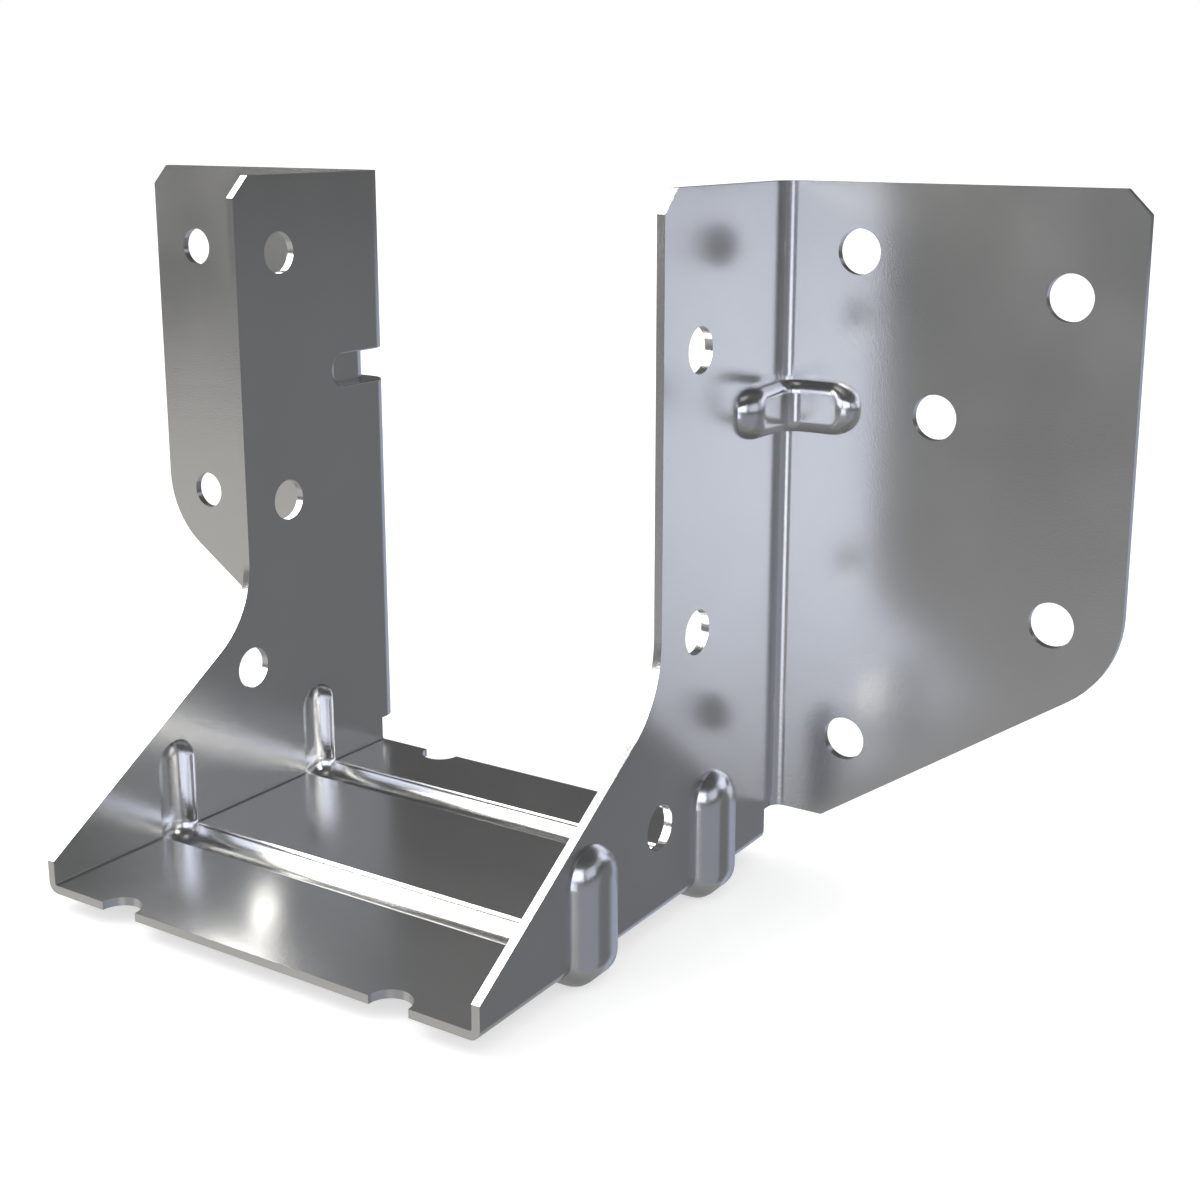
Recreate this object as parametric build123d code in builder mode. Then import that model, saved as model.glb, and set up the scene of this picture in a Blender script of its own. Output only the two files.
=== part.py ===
from build123d import *
from math import radians, tan
import os

# Joist hanger for a 60 mm joist, folded from one sheet of steel. Lengths are in millimetres.
# X runs along the header, Y runs from the open end of the seat towards the header, Z is up.
# The origin is the centre of the seat's upper face.

# Sheet
sheet = 1.0
seat_bend_radius = 0.3
flange_bend_radius = 1.5

# Seat and side plates, with distances towards the open end measured from the header
joist_width = 60.0
plate_height = 79.0
plate_reach = 28.0
plate_chamfer = 2.6
gusset_angle = 32.8
gusset_radius = 12.5
gusset_toe = 2.9
seat_reach = 61.2
seat_setback = 3.4

# Flanges, with distances along X measured from the inner face of the side plate
flange_width = 42.6
flange_foot = 7.5
flange_foot_height = 3.1
flange_angle = 34.0
flange_radius = 12.5
flange_chamfer = 2.6

# Nail holes, set by their distance from the side plate in the flanges and from the header
# in the left side plate, with the upper ones hung from the top edge and the others set above the seat
nail_hole = 5.2
corner_bead_drop = 25.7
flange_nails_below_top = [(10.2, 7.7), (20.0, corner_bead_drop), (34.7, 11.5)]
flange_nails_above_seat = [(10.2, 13.4), (34.7, 31.5)]
plate_nails_below_top = [(20.4, 9.6)]
plate_nails_above_seat = [(20.4, 37.8), (28.1, 17.2)]
plate_stagger = 7.75

# Half-round notches in both long edges of the seat
notch_width = 5.2
notch_inset = 10.5

# Two beads that cross the seat and rise up both side plates
bead_setbacks = [16.4, 41.9]
bead_width = 5.5
bead_depth = 2.0
bead_top = 11.4
bead_floor_radius = 1.25

# One bead across each flange bend, in line with the middle nail hole of its flange,
# with the reach of its ends and of the level part between the ramps to them
corner_bead_width = 4.2
corner_bead_depth = 1.9
corner_bead_on_plate = 11.2
corner_bead_on_flange = 9.9
corner_bead_level_on_plate = 8.6
corner_bead_level_on_flange = 8.6
corner_bead_plate_ramp = 2.9
corner_bead_flange_ramp = 1.4
corner_bead_crown_radius = 1.6

# Derived places
half_width = joist_width / 2
flange_edge = half_width + flange_width
foot_edge = half_width + flange_foot
header_y = (seat_reach + seat_setback) / 2
front_y = header_y - seat_reach
rear_y = header_y - seat_setback
plate_y = header_y - plate_reach
notch_x = half_width - notch_inset
corner_bead_height = plate_height - corner_bead_drop
flange_nails = flange_nails_above_seat + [(x, plate_height - drop) for x, drop in flange_nails_below_top]
plate_nails = plate_nails_above_seat + [(y, plate_height - drop) for y, drop in plate_nails_below_top]
margin = 5.0
relief_base = flange_foot_height - sheet
far_x = flange_edge + margin
far_front = front_y - margin
far_back = header_y + margin


# One cross bead: a rib round the joist space with a rounded crown and domed ends.
def cross_bead(setback, grow):
    centre = header_y - setback
    half = bead_width / 2 + grow
    out = half_width + bead_depth + grow
    low = bead_depth + grow
    with BuildPart() as bead:
        with BuildSketch(Plane.XZ.offset(-(centre + half))) as profile:
            with Locations((0, -low)):
                Rectangle(2 * out, low + bead_top + grow, align=(Align.CENTER, Align.MIN))
            fillet(profile.vertices().group_by(Axis.Y)[0], seat_bend_radius + low)
        extrude(amount=2 * half)
        with BuildSketch(Plane.YZ) as ends:
            with Locations((centre, bead_top - bead_width / 2)):
                Circle(half)
                Rectangle(2 * half, 2 * (bead_top + low), align=(Align.CENTER, Align.MAX))
        extrude(amount=out, both=True, mode=Mode.INTERSECT)
        crown = bead.edges().filter_by(Axis.Y, reverse=True)
        crown = crown.filter_by(lambda e: e.center().Z < 0 or abs(e.center().X) > half_width)
        fillet(crown, bead_floor_radius + grow)
    return bead.part


# One corner bead: a pad that lifts the flange bend outwards, round at its ends and ramped
# down to them, with a rounded crown on the outer skin and a sharp floor on the inner one.
def corner_bead(side, grow):
    half = corner_bead_width / 2 + grow
    lift = corner_bead_depth + grow
    wall_x = half_width + lift
    wall_y = header_y - lift
    end_y = header_y - corner_bead_on_plate - grow
    end_x = half_width + corner_bead_on_flange + grow
    plate_ramp = corner_bead_plate_ramp + grow
    flange_ramp = corner_bead_flange_ramp + grow
    ramp_y = header_y - corner_bead_level_on_plate - plate_ramp
    ramp_x = half_width + corner_bead_level_on_flange + flange_ramp
    with BuildPart() as bead:
        with BuildSketch(Plane.XY.offset(corner_bead_height - half)) as plan:
            with BuildLine():
                Polyline(
                    (half_width - margin, far_back),
                    (half_width - margin, ramp_y),
                    (wall_x, ramp_y),
                    (wall_x, wall_y),
                    (ramp_x, wall_y),
                    (ramp_x, far_back),
                    close=True,
                )
            make_face()
            bend = (wall_x, wall_y, flange_bend_radius + sheet - grow)
            for x, y, radius in (bend, (wall_x, ramp_y, plate_ramp), (ramp_x, wall_y, flange_ramp)):
                corner = plan.vertices().sort_by_distance((x, y, corner_bead_height - half))[0]
                fillet(corner, radius)
        extrude(amount=2 * half)
        with BuildSketch(Plane.YZ):
            with Locations((end_y + half, corner_bead_height)):
                Circle(half)
                Rectangle(2 * (far_back - end_y), 2 * half, align=(Align.MIN, Align.CENTER))
        extrude(amount=far_x, mode=Mode.INTERSECT)
        with BuildSketch(Plane.XZ.offset(-far_back)):
            with Locations((end_x - half, corner_bead_height)):
                Circle(half)
                Rectangle(far_x, 2 * half, align=(Align.MAX, Align.CENTER))
        extrude(amount=2 * far_back, mode=Mode.INTERSECT)
        if grow:
            crown = bead.edges().filter_by(Axis.Z, reverse=True)
            crown = crown.filter_by(lambda e: e.center().X > half_width and e.center().Y < header_y)
            fillet(crown, corner_bead_crown_radius)
        if side < 0:
            mirror(about=Plane.YZ, mode=Mode.REPLACE)
    return bead.part


# The space that the sheet is folded round, joist and header together, grown by a distance.
def folded_space(grow):
    half = half_width + grow
    with BuildPart() as space:
        with BuildSketch(Plane.XZ.offset(-rear_y)) as joist:
            with Locations((0, -grow)):
                Rectangle(2 * half, plate_height + grow, align=(Align.CENTER, Align.MIN))
            fillet(joist.vertices().group_by(Axis.Y)[0], seat_bend_radius + grow)
        extrude(amount=rear_y - far_front)
        with BuildSketch(Plane.XY.offset(relief_base)) as plan:
            with Locations((0, header_y - grow)):
                Rectangle(2 * far_x, margin + grow, align=(Align.CENTER, Align.MIN))
            with Locations((0, far_back)):
                Rectangle(2 * half, far_back - plate_y, align=(Align.CENTER, Align.MAX))
            corners = plan.vertices().group_by(Axis.Y)[1]
            fillet(corners.sort_by(Axis.X)[1:3], flange_bend_radius + sheet - grow)
        extrude(amount=plate_height - relief_base)
        for setback in bead_setbacks:
            add(cross_bead(setback, grow))
        for side in (-1, 1):
            add(corner_bead(side, grow))
    return space.part


os.makedirs("parts", exist_ok=True)

with BuildPart() as hanger:
    # The bent and beaded sheet, not yet trimmed
    add(folded_space(sheet))
    add(folded_space(0), mode=Mode.SUBTRACT)

    # Front edges: a chamfered top corner, a hollow curve and a gusset down to the seat
    gusset_corner = gusset_toe + (plate_y - front_y) * tan(radians(gusset_angle))
    with BuildSketch(Plane.YZ) as front_waste:
        with BuildLine():
            Polyline(
                (far_front, -margin),
                (front_y, -margin),
                (front_y, gusset_toe),
                (plate_y, gusset_corner),
                (plate_y, plate_height - plate_chamfer),
                (plate_y + plate_chamfer + margin, plate_height + margin),
                (far_front, plate_height + margin),
                close=True,
            )
        make_face()
        fillet(front_waste.vertices().sort_by_distance((plate_y, gusset_corner))[0], gusset_radius)
    extrude(amount=half_width + margin, both=True, mode=Mode.SUBTRACT)

    # Flange outlines, with the rear edge of the seat and the reliefs under the flange bends
    flange_corner = flange_foot_height + (flange_width - flange_foot) * tan(radians(flange_angle))
    with BuildSketch(Plane.XZ.offset(-rear_y)) as rear_waste:
        with Locations((0, -margin)):
            Rectangle(2 * far_x, plate_height + 2 * margin, align=(Align.CENTER, Align.MIN))
        with BuildLine():
            Polyline(
                (0, flange_foot_height),
                (foot_edge, flange_foot_height),
                (flange_edge, flange_corner),
                (flange_edge, plate_height - flange_chamfer),
                (flange_edge - flange_chamfer - margin, plate_height + margin),
                (0, plate_height + margin),
            )
            mirror(about=Plane.YZ)
        make_face(mode=Mode.SUBTRACT)
        for side in (-1, 1):
            corner = rear_waste.vertices().sort_by_distance((side * flange_edge, flange_corner))[0]
            fillet(corner, flange_radius)
    extrude(amount=rear_y - far_back, mode=Mode.SUBTRACT)

    # Nail holes in the flanges, the same on both sides
    with BuildSketch(Plane.XZ.offset(-header_y)):
        with Locations(*[(half_width + inset, height) for inset, height in flange_nails]):
            Circle(nail_hole / 2)
        mirror(about=Plane.YZ)
    extrude(amount=2 * sheet, mode=Mode.SUBTRACT)

    # Nail holes in the side plates, lower on the right so that the nails pass each other
    for side, drop in ((-1, 0), (1, plate_stagger)):
        with BuildSketch(Plane.YZ.offset(side * half_width)):
            with Locations(*[(header_y - setback, height - drop) for setback, height in plate_nails]):
                Circle(nail_hole / 2)
        extrude(amount=2 * side * sheet, mode=Mode.SUBTRACT)

    # Half-round notches in the front and rear edges of the seat
    with BuildSketch():
        with Locations(*[(x, y) for x in (-notch_x, notch_x) for y in (front_y, rear_y)]):
            Circle(notch_width / 2)
    extrude(amount=2 * sheet, both=True, mode=Mode.SUBTRACT)

hanger.part.label = "hanger"
export_step(hanger.part, "parts/hanger.step")
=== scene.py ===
import math

import bmesh
import bpy
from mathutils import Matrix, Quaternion, Vector
from mathutils.bvhtree import BVHTree


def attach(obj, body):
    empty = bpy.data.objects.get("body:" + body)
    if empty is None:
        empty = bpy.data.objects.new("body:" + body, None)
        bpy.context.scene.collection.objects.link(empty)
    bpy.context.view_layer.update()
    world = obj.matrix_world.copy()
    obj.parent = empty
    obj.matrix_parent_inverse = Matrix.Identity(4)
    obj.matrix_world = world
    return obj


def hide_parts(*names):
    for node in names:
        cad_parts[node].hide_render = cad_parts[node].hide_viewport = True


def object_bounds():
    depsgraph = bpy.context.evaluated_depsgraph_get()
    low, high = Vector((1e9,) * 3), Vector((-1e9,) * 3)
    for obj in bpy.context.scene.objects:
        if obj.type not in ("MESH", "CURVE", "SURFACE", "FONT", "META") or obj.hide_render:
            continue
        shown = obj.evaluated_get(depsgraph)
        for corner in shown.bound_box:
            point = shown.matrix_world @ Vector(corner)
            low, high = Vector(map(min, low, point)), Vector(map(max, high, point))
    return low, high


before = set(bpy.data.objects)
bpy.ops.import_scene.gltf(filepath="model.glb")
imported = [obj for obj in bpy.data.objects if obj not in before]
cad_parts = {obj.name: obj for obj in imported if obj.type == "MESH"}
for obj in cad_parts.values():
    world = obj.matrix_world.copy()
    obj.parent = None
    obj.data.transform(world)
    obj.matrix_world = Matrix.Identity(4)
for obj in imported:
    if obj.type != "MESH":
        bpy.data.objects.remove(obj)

cadBox = [list(corner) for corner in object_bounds()]
mm = 0.001


def rgb(hexCode):
    parts = [int(hexCode[i:i + 2], 16) / 255 for i in (1, 3, 5)]
    linear = [c / 12.92 if c <= 0.04045 else ((c + 0.055) / 1.055) ** 2.4 for c in parts]
    return (*linear, 1.0)


# Sockets go by name, or by number on nodes where several share a name
def addNode(tree, kind, place, settings={}, links={}):
    node = tree.nodes.new(kind)
    node.location = place
    for name, value in settings.items():
        if isinstance(name, int) or name in node.inputs:
            node.inputs[name].default_value = value
        else:
            setattr(node, name, value)
    for name, source in links.items():
        tree.links.new(source, node.inputs[name])
    return node


def newMaterial(name):
    material = bpy.data.materials.new(name)
    material.use_nodes = True
    material.node_tree.nodes.clear()
    return material, material.node_tree


def addOutput(tree, surface):
    addNode(tree, "ShaderNodeOutputMaterial", (900, 0), links={"Surface": surface})


steelLook = {
    "darkTone": "#d6d6d6",
    "paleTone": "#dddddc",
    "roughLow": 0.19,
    "roughHigh": 0.23,
    "cloudSize": 14 * mm,      # width of the patches in which the zinc is duller or brighter
    "cloudRange": (0.3, 0.7),  # the part of the noise that spreads over the roughness
    "grainSize": 0.22 * mm,    # real zinc is finer, and this is as coarse as it needs to show
    "grainHeight": 0.009 * mm,
}

# Where the press stretched the sheet its zinc is finely crazed, so it mirrors more softly
pressedLook = {**steelLook, "roughLow": 0.27, "roughHigh": 0.31}

# The short beads on the flange bends are drawn tight over the punch, which leaves them brighter
burnishedLook = {**steelLook, "roughLow": 0.13, "roughHigh": 0.16}


def galvanisedSteel(name, look):  # zinc-coated sheet: soft mirror with a faint cloudy mottle
    material, tree = newMaterial(name)
    coords = addNode(tree, "ShaderNodeTexCoord", (-1100, 0))
    clouds = addNode(
        tree, "ShaderNodeTexNoise", (-800, 200),
        {"Detail": 2.0, "Scale": 1 / look["cloudSize"]},
        {"Vector": coords.outputs["Object"]},
    )
    grain = addNode(
        tree, "ShaderNodeTexNoise", (-800, -200),
        {"Detail": 2.0, "Scale": 1 / look["grainSize"]},
        {"Vector": coords.outputs["Object"]},
    )
    tone = addNode(
        tree, "ShaderNodeMix", (-300, 200),
        {"data_type": "RGBA", 6: rgb(look["darkTone"]), 7: rgb(look["paleTone"])},
        {0: clouds.outputs["Fac"]},
    )
    rough = addNode(
        tree, "ShaderNodeMapRange", (-300, -50),
        {
            "From Min": look["cloudRange"][0],
            "From Max": look["cloudRange"][1],
            "To Min": look["roughLow"],
            "To Max": look["roughHigh"],
        },
        {"Value": clouds.outputs["Fac"]},
    )
    bump = addNode(
        tree, "ShaderNodeBump", (100, -250),
        {"Strength": 1.0, "Distance": look["grainHeight"]},
        {"Height": grain.outputs["Fac"]},
    )
    shader = addNode(
        tree, "ShaderNodeBsdfPrincipled", (500, 0),
        {"Metallic": 1.0},
        {
            "Base Color": tone.outputs[2],
            "Roughness": rough.outputs["Result"],
            "Normal": bump.outputs["Normal"],
        },
    )
    addOutput(tree, shader.outputs["BSDF"])
    return material


edgeLook = {
    "steel": "#cfcdca",
    "zinc": "#efede9",
    "steelBelow": 0.42,        # of the speck noise
    "zincAbove": 0.60,
    "speckSize": 0.35 * mm,    # about a third of the sheet's thickness, as tears are
    "roughness": 0.5,
    "biteHeight": 0.03 * mm,
    "biteStrength": 0.3,
}


def shearedSteel(look):  # cut edge: torn bare steel with smeared zinc, dull and speckled
    material, tree = newMaterial("shearedSteel")
    coords = addNode(tree, "ShaderNodeTexCoord", (-1100, 0))
    specks = addNode(
        tree, "ShaderNodeTexNoise", (-800, 100),
        {"Detail": 4.0, "Roughness": 0.7, "Scale": 1 / look["speckSize"]},
        {"Vector": coords.outputs["Object"]},
    )
    tone = addNode(
        tree, "ShaderNodeValToRGB", (-450, 150), links={"Fac": specks.outputs["Fac"]},
    )
    stops = tone.color_ramp.elements
    stops[0].position = look["steelBelow"]
    stops[0].color = rgb(look["steel"])
    stops[1].position = look["zincAbove"]
    stops[1].color = rgb(look["zinc"])
    bump = addNode(
        tree, "ShaderNodeBump", (100, -250),
        {"Strength": look["biteStrength"], "Distance": look["biteHeight"]},
        {"Height": specks.outputs["Fac"]},
    )
    shader = addNode(
        tree, "ShaderNodeBsdfPrincipled", (500, 0),
        {"Metallic": 1.0, "Roughness": look["roughness"]},
        {"Base Color": tone.outputs["Color"], "Normal": bump.outputs["Normal"]},
    )
    addOutput(tree, shader.outputs["BSDF"])
    return material


# Lengths are along X for the header, along Y for the joist and along Z for the height,
# from the middle of the seat's upper face
hangerPiece = {
    "sheet": 1 * mm,
    "plateFace": 30 * mm,          # X of the side plates' inner faces
    "flangeFront": 31.3 * mm,      # Y of the flanges' front faces
    "bendRadius": 0.3 * mm,        # inside the seat bends
    "slack": 0.02 * mm,            # allowed either way when a face is sorted
    "weldDistance": 0.002 * mm,
    "creaseAngle": 38,             # degrees, above which an edge stays crisp
    "cutDepth": 1.9 * mm,          # a face with more steel than this behind it is a cut edge
    "rayStart": 0.01 * mm,         # how far under its face that depth is measured from
    "lipRounding": 0.2 * mm,       # the slight roll of the sheet where it enters a bead
    "lipSegments": 2,
    "areaWeight": 100,             # the most, so that the flat faces keep flat shading
    # the two pressed beads that cross the seat
    "beadCentres": (-9.6 * mm, 15.9 * mm),
    "beadEndHeight": 8.65 * mm,    # centre of the round upper ends
    "beadDepth": 2 * mm,
    "grooveHalf": 2.75 * mm,
    "beadRoundness": 0.85,         # lean of the shading at the foot of a bead's walls
    "beadHollow": 1.5,             # above 1, a bead's middle is shaded flatter than its sides
    # the short beads over the flange bends
    "cornerHeight": 53.3 * mm,
    "cornerHalfHeight": 3.2 * mm,
    "cornerReach": 41.5 * mm,      # X
    "cornerStart": 20 * mm,        # Y
    "cornerRoundSide": 38.2 * mm,  # X where the round end on the flange begins
    "cornerRoundEnd": 24 * mm,     # Y where the round end on the plate begins
    "cornerFade": 1.5 * mm,        # over which the shading of a round end sets in
    "cornerRoundness": 0.8,
    "cornerWallTilt": 0.95,        # faces turned further up or down are a bead's level walls
    "leastLevel": 0.05,            # a normal nearer to upright than this is left as it is
}

# Places of the hanger's materials
sheetFace, cutFace, pressedFace, burnishedFace = range(4)


# The way to a point from the middle line of the nearest bead across the seat
def acrossBead(point, values):
    centre = min(values["beadCentres"], key=lambda y: abs(point.y - y))
    return Vector((0, point.y - centre, max(0, point.z - values["beadEndHeight"])))


# The way to a point from the core of the joist, which is smaller by the bend radius
def fromJoist(point, values):
    bend = values["bendRadius"]
    edge = values["plateFace"] - bend
    inside = Vector((max(-edge, min(edge, point.x)), point.y, max(bend, point.z)))
    return point - inside


# -1 for the skin inside a groove, 1 for the skin outside its rib, 0 for the rest of the sheet
def beadSkin(point, values):
    sheet, slack = values["sheet"], values["slack"]
    depth = fromJoist(point, values).length - values["bendRadius"]
    reach = acrossBead(point, values).length
    half = values["grooveHalf"]
    if slack < depth < values["beadDepth"] + slack and reach < half + slack:
        return -1
    if depth > sheet + slack and reach < half + sheet + slack:
        return 1
    return 0


def inCornerBead(point, values):
    level = abs(point.z - values["cornerHeight"]) < values["cornerHalfHeight"]
    return level and abs(point.x) < values["cornerReach"] and point.y > values["cornerStart"]


# The outer skin of a corner bead stands proud of the plate and of the flange
def isCornerCrown(face, values):
    centre = face.calc_center_median()
    proudX = abs(centre.x) - values["plateFace"] - values["sheet"]
    proudY = values["flangeFront"] - centre.y
    proud = min(proudX, proudY) > values["slack"]
    upright = abs(face.normal.z) < values["cornerWallTilt"]
    return inCornerBead(centre, values) and proud and upright


# Across a bead the shading leans from its middle line out to its sides
def roundedNormal(point, skin, values):
    across = acrossBead(point, values)
    half = values["grooveHalf"] + (values["sheet"] if skin > 0 else 0)
    share = min(1, across.length / half) ** values["beadHollow"]
    lean = values["beadRoundness"] * share
    outwards = fromJoist(point, values).normalized()
    return skin * (outwards * math.sqrt(1 - lean * lean) + across.normalized() * lean)


# The ends of a corner bead are domed, so their shading leans up and down as well
def domedNormal(normal, point, values):
    level = Vector((normal.x, normal.y, 0))
    if level.length < values["leastLevel"]:
        return normal
    past = max(values["cornerRoundEnd"] - point.y, abs(point.x) - values["cornerRoundSide"])
    share = max(0, min(1, past / values["cornerFade"]))
    rise = (point.z - values["cornerHeight"]) / values["cornerHalfHeight"]
    lean = normal.z + (1 - abs(normal.z)) * values["cornerRoundness"] * share * rise
    return level.normalized() * math.sqrt(max(0, 1 - lean * lean)) + Vector((0, 0, lean))


def markCutFaces(work, values):
    steel = BVHTree.FromBMesh(work)
    for face in work.faces:
        face.smooth = True
        face.material_index = sheetFace
        centre = face.calc_center_median()
        if beadSkin(centre, values) or inCornerBead(centre, values):
            continue
        start = centre - face.normal * values["rayStart"]
        place, _, _, depth = steel.ray_cast(start, -face.normal)
        if place is None or depth > values["cutDepth"]:
            face.material_index = cutFace


def markCreases(work, crease):
    for edge in work.edges:
        finishes = [face.material_index for face in edge.link_faces]
        joined = len(finishes) == 2 and finishes[0] == finishes[1]
        edge.smooth = joined and edge.calc_face_angle(0) < crease


def isLip(edge, crease):
    if len(edge.link_faces) != 2 or not edge.is_convex:
        return False
    if any(face.material_index == cutFace for face in edge.link_faces):
        return False
    return edge.calc_face_angle(0) > crease


def roundLips(work, crease, values):
    lips = [edge for edge in work.edges if isLip(edge, crease)]
    bmesh.ops.bevel(
        work, geom=lips, offset=values["lipRounding"], segments=values["lipSegments"],
        profile=0.5, affect="EDGES", clamp_overlap=True, material=-1,
    )
    print("lips rounded:", len(lips), "edges")


# Gives each bead face its finish, and returns its skin, which is 0 on a corner bead
def markBeadFaces(work, values):
    skins = {}
    work.faces.index_update()
    for face in work.faces:
        skin = beadSkin(face.calc_center_median(), values)
        if skin:
            skins[face.index] = skin
            face.material_index = pressedFace
        elif isCornerCrown(face, values):
            skins[face.index] = 0
            face.material_index = burnishedFace
    return skins


def weighOutsideBeads(work):
    weights = work.verts.layers.deform.verify()
    for vertex in work.verts:
        if any(face.material_index in (sheetFace, cutFace) for face in vertex.link_faces):
            vertex[weights][0] = 1.0


def shadeBeadsRound(mesh, skins, values):
    normals = [(0, 0, 0)] * len(mesh.loops)  # zero leaves a corner's own normal
    for index, skin in skins.items():
        for corner in mesh.polygons[index].loop_indices:
            point = mesh.vertices[mesh.loops[corner].vertex_index].co
            if skin:
                normals[corner] = roundedNormal(point, skin, values)
            else:
                smooth = mesh.corner_normals[corner].vector
                normals[corner] = domedNormal(smooth, point, values)
    mesh.normals_split_custom_set(normals)
    print("beads shaded round:", len(skins), "faces")


def dressHanger(values):
    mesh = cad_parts["hanger"].data.copy()
    mesh.name = "foldedHanger"
    work = bmesh.new()
    work.from_mesh(mesh)
    bmesh.ops.remove_doubles(work, verts=work.verts, dist=values["weldDistance"])
    bmesh.ops.recalc_face_normals(work, faces=work.faces)
    crease = math.radians(values["creaseAngle"])
    markCutFaces(work, values)
    markCreases(work, crease)
    roundLips(work, crease, values)
    skins = markBeadFaces(work, values)
    weighOutsideBeads(work)
    work.to_mesh(mesh)
    work.free()
    shadeBeadsRound(mesh, skins, values)
    mesh.materials.clear()
    mesh.materials.append(galvanisedSteel("galvanisedSteel", steelLook))
    mesh.materials.append(shearedSteel(edgeLook))
    mesh.materials.append(galvanisedSteel("pressedGalvanisedSteel", pressedLook))
    mesh.materials.append(galvanisedSteel("burnishedGalvanisedSteel", burnishedLook))
    piece = bpy.data.objects.new("foldedHanger", mesh)
    bpy.context.scene.collection.objects.link(piece)
    piece.vertex_groups.new(name="outsideBeads")
    evenNormals = piece.modifiers.new("evenNormals", "WEIGHTED_NORMAL")
    evenNormals.vertex_group = "outsideBeads"
    evenNormals.keep_sharp = True
    evenNormals.weight = values["areaWeight"]
    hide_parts("hanger")
    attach(piece, "root")
    return piece


hanger = dressHanger(hangerPiece)
print("hanger dressed:", len(hanger.data.polygons), "faces")


studio = {
    "floorTone": "#cfcfce",
    "floorGlow": 0.55,
    "floorSize": 6.0,
    "worldLevel": 1.0,
    "panelDistance": 1.2,
    "domeRadius": 1.6,
    "domeSubdivisions": 4,
    # what the bare metal mirrors, from straight down to straight up
    "roomLevels": [
        (-90, 0.26), (-60, 0.30), (-32, 0.40), (-20, 0.35), (-10, 0.24),
        (-2, 0.17), (2, 0.12), (30, 0.095), (60, 0.09), (90, 0.12),
    ],
    "keyLamp": {"azimuth": -60, "elevation": 48, "distance": 1.1, "size": 0.7, "power": 3.0},
}

# Panels that only the metal mirrors: azimuth from the open end towards the right flange,
# elevation, width and height in degrees, strength and colour
mirrorPanels = {
    "keyPanel": (-62, 37.5, 84, 49, 6.5, "#fffdf9"),
    "frontPanel": (6, 20, 24, 27, 2.1, "#e9eeff"),
    "cameraPanel": (43, 20, 38, 27, 2.1, "#e9eeff"),
    "rightPanel": (88, 17, 32, 22, 0.9, "#eaf0ff"),
    "lowRightPanel": (84, -24, 66, 36, 0.38, "#ebf0ff"),
    "lowFrontPanel": (29, -8.5, 24, 22, 1.65, "#ebf0ff"),
    "lowLeftPanel": (-52, -22, 36, 32, 0.56, "#fffdf8"),
    "darkBackPanel": (139, -20, 35, 40, 0.20, "#f8faff"),
    "lowBackPanel": (180, -22, 50, 40, 0.60, "#dde6ff"),
    "backPanel": (134, 23, 50, 14, 0.50, "#f4f7ff"),
    "backLeftPanel": (-142, 32, 40, 12, 0.20, "#ffffff"),
    "topPanel": (0, 88, 20, 20, 0.6, "#ffffff"),
}


def direction(azimuth, elevation):
    a, e = math.radians(azimuth), math.radians(elevation)
    return Vector((math.sin(a) * math.cos(e), -math.cos(a) * math.cos(e), math.sin(e)))


def addPiece(name, work, material):
    mesh = bpy.data.meshes.new(name)
    work.to_mesh(mesh)
    work.free()
    mesh.materials.append(material)
    piece = bpy.data.objects.new(name, mesh)
    bpy.context.scene.collection.objects.link(piece)
    return piece


def onlyMirrored(piece):
    piece.visible_camera = False
    piece.visible_diffuse = False
    piece.visible_shadow = False
    piece.visible_transmission = False
    piece.visible_volume_scatter = False


def glow(name, strength, tint):
    material, tree = newMaterial(name)
    light = addNode(
        tree, "ShaderNodeEmission", (300, 0), {"Color": rgb(tint), "Strength": strength},
    )
    addOutput(tree, light.outputs["Emission"])
    return material


def hangPanel(name, values, distance):
    azimuth, elevation, width, height, strength, tint = values
    towards = direction(azimuth, elevation)
    work = bmesh.new()
    bmesh.ops.create_grid(work, x_segments=1, y_segments=1, size=0.5)  # one unit wide
    across = 2 * distance * math.tan(math.radians(width / 2))
    upright = 2 * distance * math.tan(math.radians(height / 2))
    bmesh.ops.scale(work, vec=(across, upright, 1), verts=work.verts)
    turn = (-towards).to_track_quat("Z", "Y").to_matrix()
    bmesh.ops.rotate(work, cent=(0, 0, 0), matrix=turn, verts=work.verts)
    bmesh.ops.translate(work, vec=towards * distance, verts=work.verts)
    onlyMirrored(addPiece(name, work, glow(name, strength, tint)))


# The room is brightest a little below the horizon and darkest above it
def roomGlow(values):
    material, tree = newMaterial("studioRoom")
    radius = values["domeRadius"]
    coords = addNode(tree, "ShaderNodeTexCoord", (-900, 0))
    split = addNode(
        tree, "ShaderNodeSeparateXYZ", (-700, 0), links={"Vector": coords.outputs["Object"]},
    )
    height = addNode(
        tree, "ShaderNodeMapRange", (-500, 0),
        {"From Min": -radius, "From Max": radius}, {"Value": split.outputs["Z"]},
    )
    ramp = addNode(
        tree, "ShaderNodeValToRGB", (-250, 0), links={"Fac": height.outputs["Result"]},
    )
    stops = ramp.color_ramp.elements
    for i, (elevation, level) in enumerate(values["roomLevels"]):
        place = (math.sin(math.radians(elevation)) + 1) / 2
        stop = stops[i] if i < 2 else stops.new(place)  # a new ramp has two stops
        stop.position = place
        stop.color = (level, level, level, 1)
    light = addNode(
        tree, "ShaderNodeEmission", (300, 0),
        {"Strength": 1.0}, {"Color": ramp.outputs["Color"]},
    )
    addOutput(tree, light.outputs["Emission"])
    material.cycles.emission_sampling = "NONE"
    return material


def darkRoom(values):
    work = bmesh.new()
    bmesh.ops.create_icosphere(
        work, subdivisions=values["domeSubdivisions"], radius=values["domeRadius"],
    )
    onlyMirrored(addPiece("studioRoom", work, roomGlow(values)))


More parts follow.
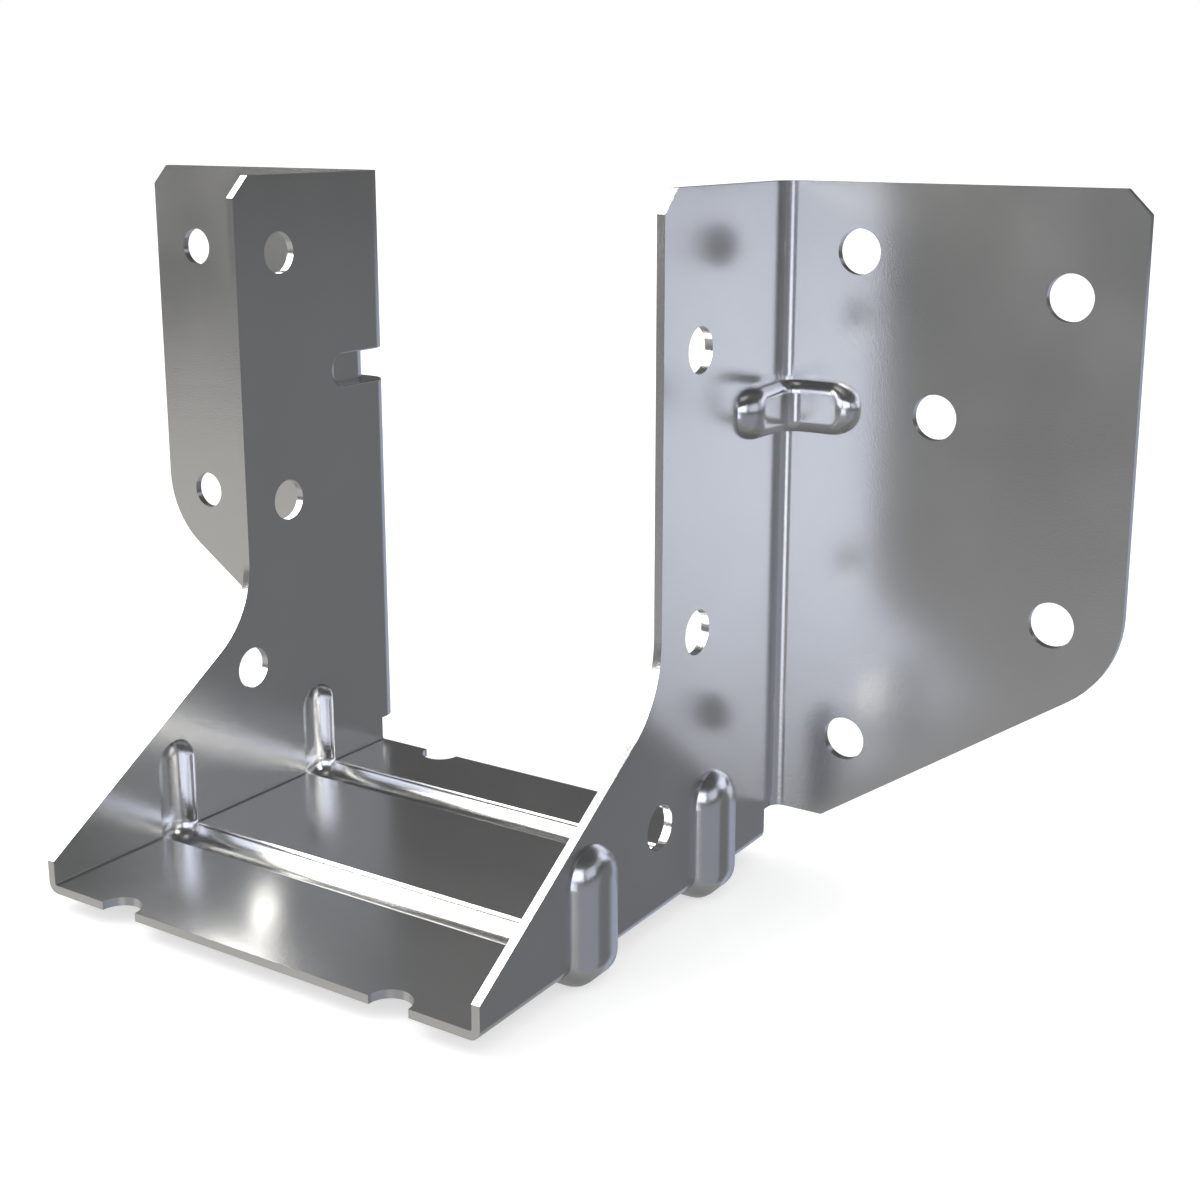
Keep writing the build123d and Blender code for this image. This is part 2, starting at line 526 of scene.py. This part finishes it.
# Pale paint that takes shadows, with a glow for the camera alone that brings it near white
def floorPaint(values):
    material, tree = newMaterial("paleFloor")
    paint = addNode(
        tree, "ShaderNodeBsdfDiffuse", (300, 100), {"Color": rgb(values["floorTone"])},
    )
    rays = addNode(tree, "ShaderNodeLightPath", (-200, -100))
    level = addNode(
        tree, "ShaderNodeMath", (50, -100),
        {"operation": "MULTIPLY", 1: values["floorGlow"]}, {0: rays.outputs["Is Camera Ray"]},
    )
    white = addNode(
        tree, "ShaderNodeEmission", (300, -100), links={"Strength": level.outputs[0]},
    )
    both = addNode(
        tree, "ShaderNodeAddShader", (600, 0),
        links={0: paint.outputs["BSDF"], 1: white.outputs["Emission"]},
    )
    addOutput(tree, both.outputs["Shader"])
    return material


def paleFloor(values):
    work = bmesh.new()
    bmesh.ops.create_grid(work, x_segments=1, y_segments=1, size=values["floorSize"] / 2)
    bmesh.ops.translate(work, vec=(0, 0, cadBox[0][2]), verts=work.verts)
    floor = addPiece("paleFloor", work, floorPaint(values))
    floor.visible_glossy = False


def plainWorld(values):
    world = bpy.data.worlds.new("plainStudio")
    world.use_nodes = True
    background = world.node_tree.nodes["Background"]
    background.inputs["Color"].default_value = (1, 1, 1, 1)
    background.inputs["Strength"].default_value = values["worldLevel"]
    bpy.context.scene.world = world


def keyLamp(values):
    lamp = bpy.data.lights.new("keyLamp", "AREA")
    lamp.shape = "SQUARE"
    lamp.size = values["size"]
    lamp.energy = values["power"]
    holder = bpy.data.objects.new("keyLamp", lamp)
    towards = direction(values["azimuth"], values["elevation"])
    holder.location = towards * values["distance"]
    holder.rotation_euler = towards.to_track_quat("Z", "Y").to_euler()
    bpy.context.scene.collection.objects.link(holder)
    holder.visible_camera = False
    holder.visible_glossy = False


paleFloor(studio)
plainWorld(studio)
keyLamp(studio["keyLamp"])
darkRoom(studio)
for panelName, panelValues in mirrorPanels.items():
    hangPanel(panelName, panelValues, studio["panelDistance"])
print("studio set:", len(mirrorPanels), "panels")


cameraValues = {
    "place": (124.785 * mm, -150.422 * mm, 86.692 * mm),
    "azimuth": 32.96,     # degrees from the open end towards the right flange
    "elevation": 13.05,
    "roll": 0.08,
    "lens": 52.5,
    "sensorWidth": 36,
    "shift": (-0.0093, -0.0695),
    "clipStart": 0.005,
    "clipEnd": 50,
}


def placeCamera(values):
    lens = bpy.data.cameras.new("photoCamera")
    lens.sensor_fit = "HORIZONTAL"
    lens.sensor_width = values["sensorWidth"]
    lens.lens = values["lens"]
    lens.shift_x, lens.shift_y = values["shift"]
    lens.clip_start = values["clipStart"]
    lens.clip_end = values["clipEnd"]
    camera = bpy.data.objects.new("photoCamera", lens)
    camera.location = values["place"]
    back = direction(values["azimuth"], values["elevation"])
    camera.rotation_mode = "QUATERNION"
    camera.rotation_quaternion = back.to_track_quat("Z", "Y")
    camera.rotation_quaternion.rotate(Quaternion(back, math.radians(values["roll"])))
    bpy.context.scene.collection.objects.link(camera)
    bpy.context.scene.camera = camera


placeCamera(cameraValues)
view = bpy.context.scene.view_settings
view.view_transform = "Standard"
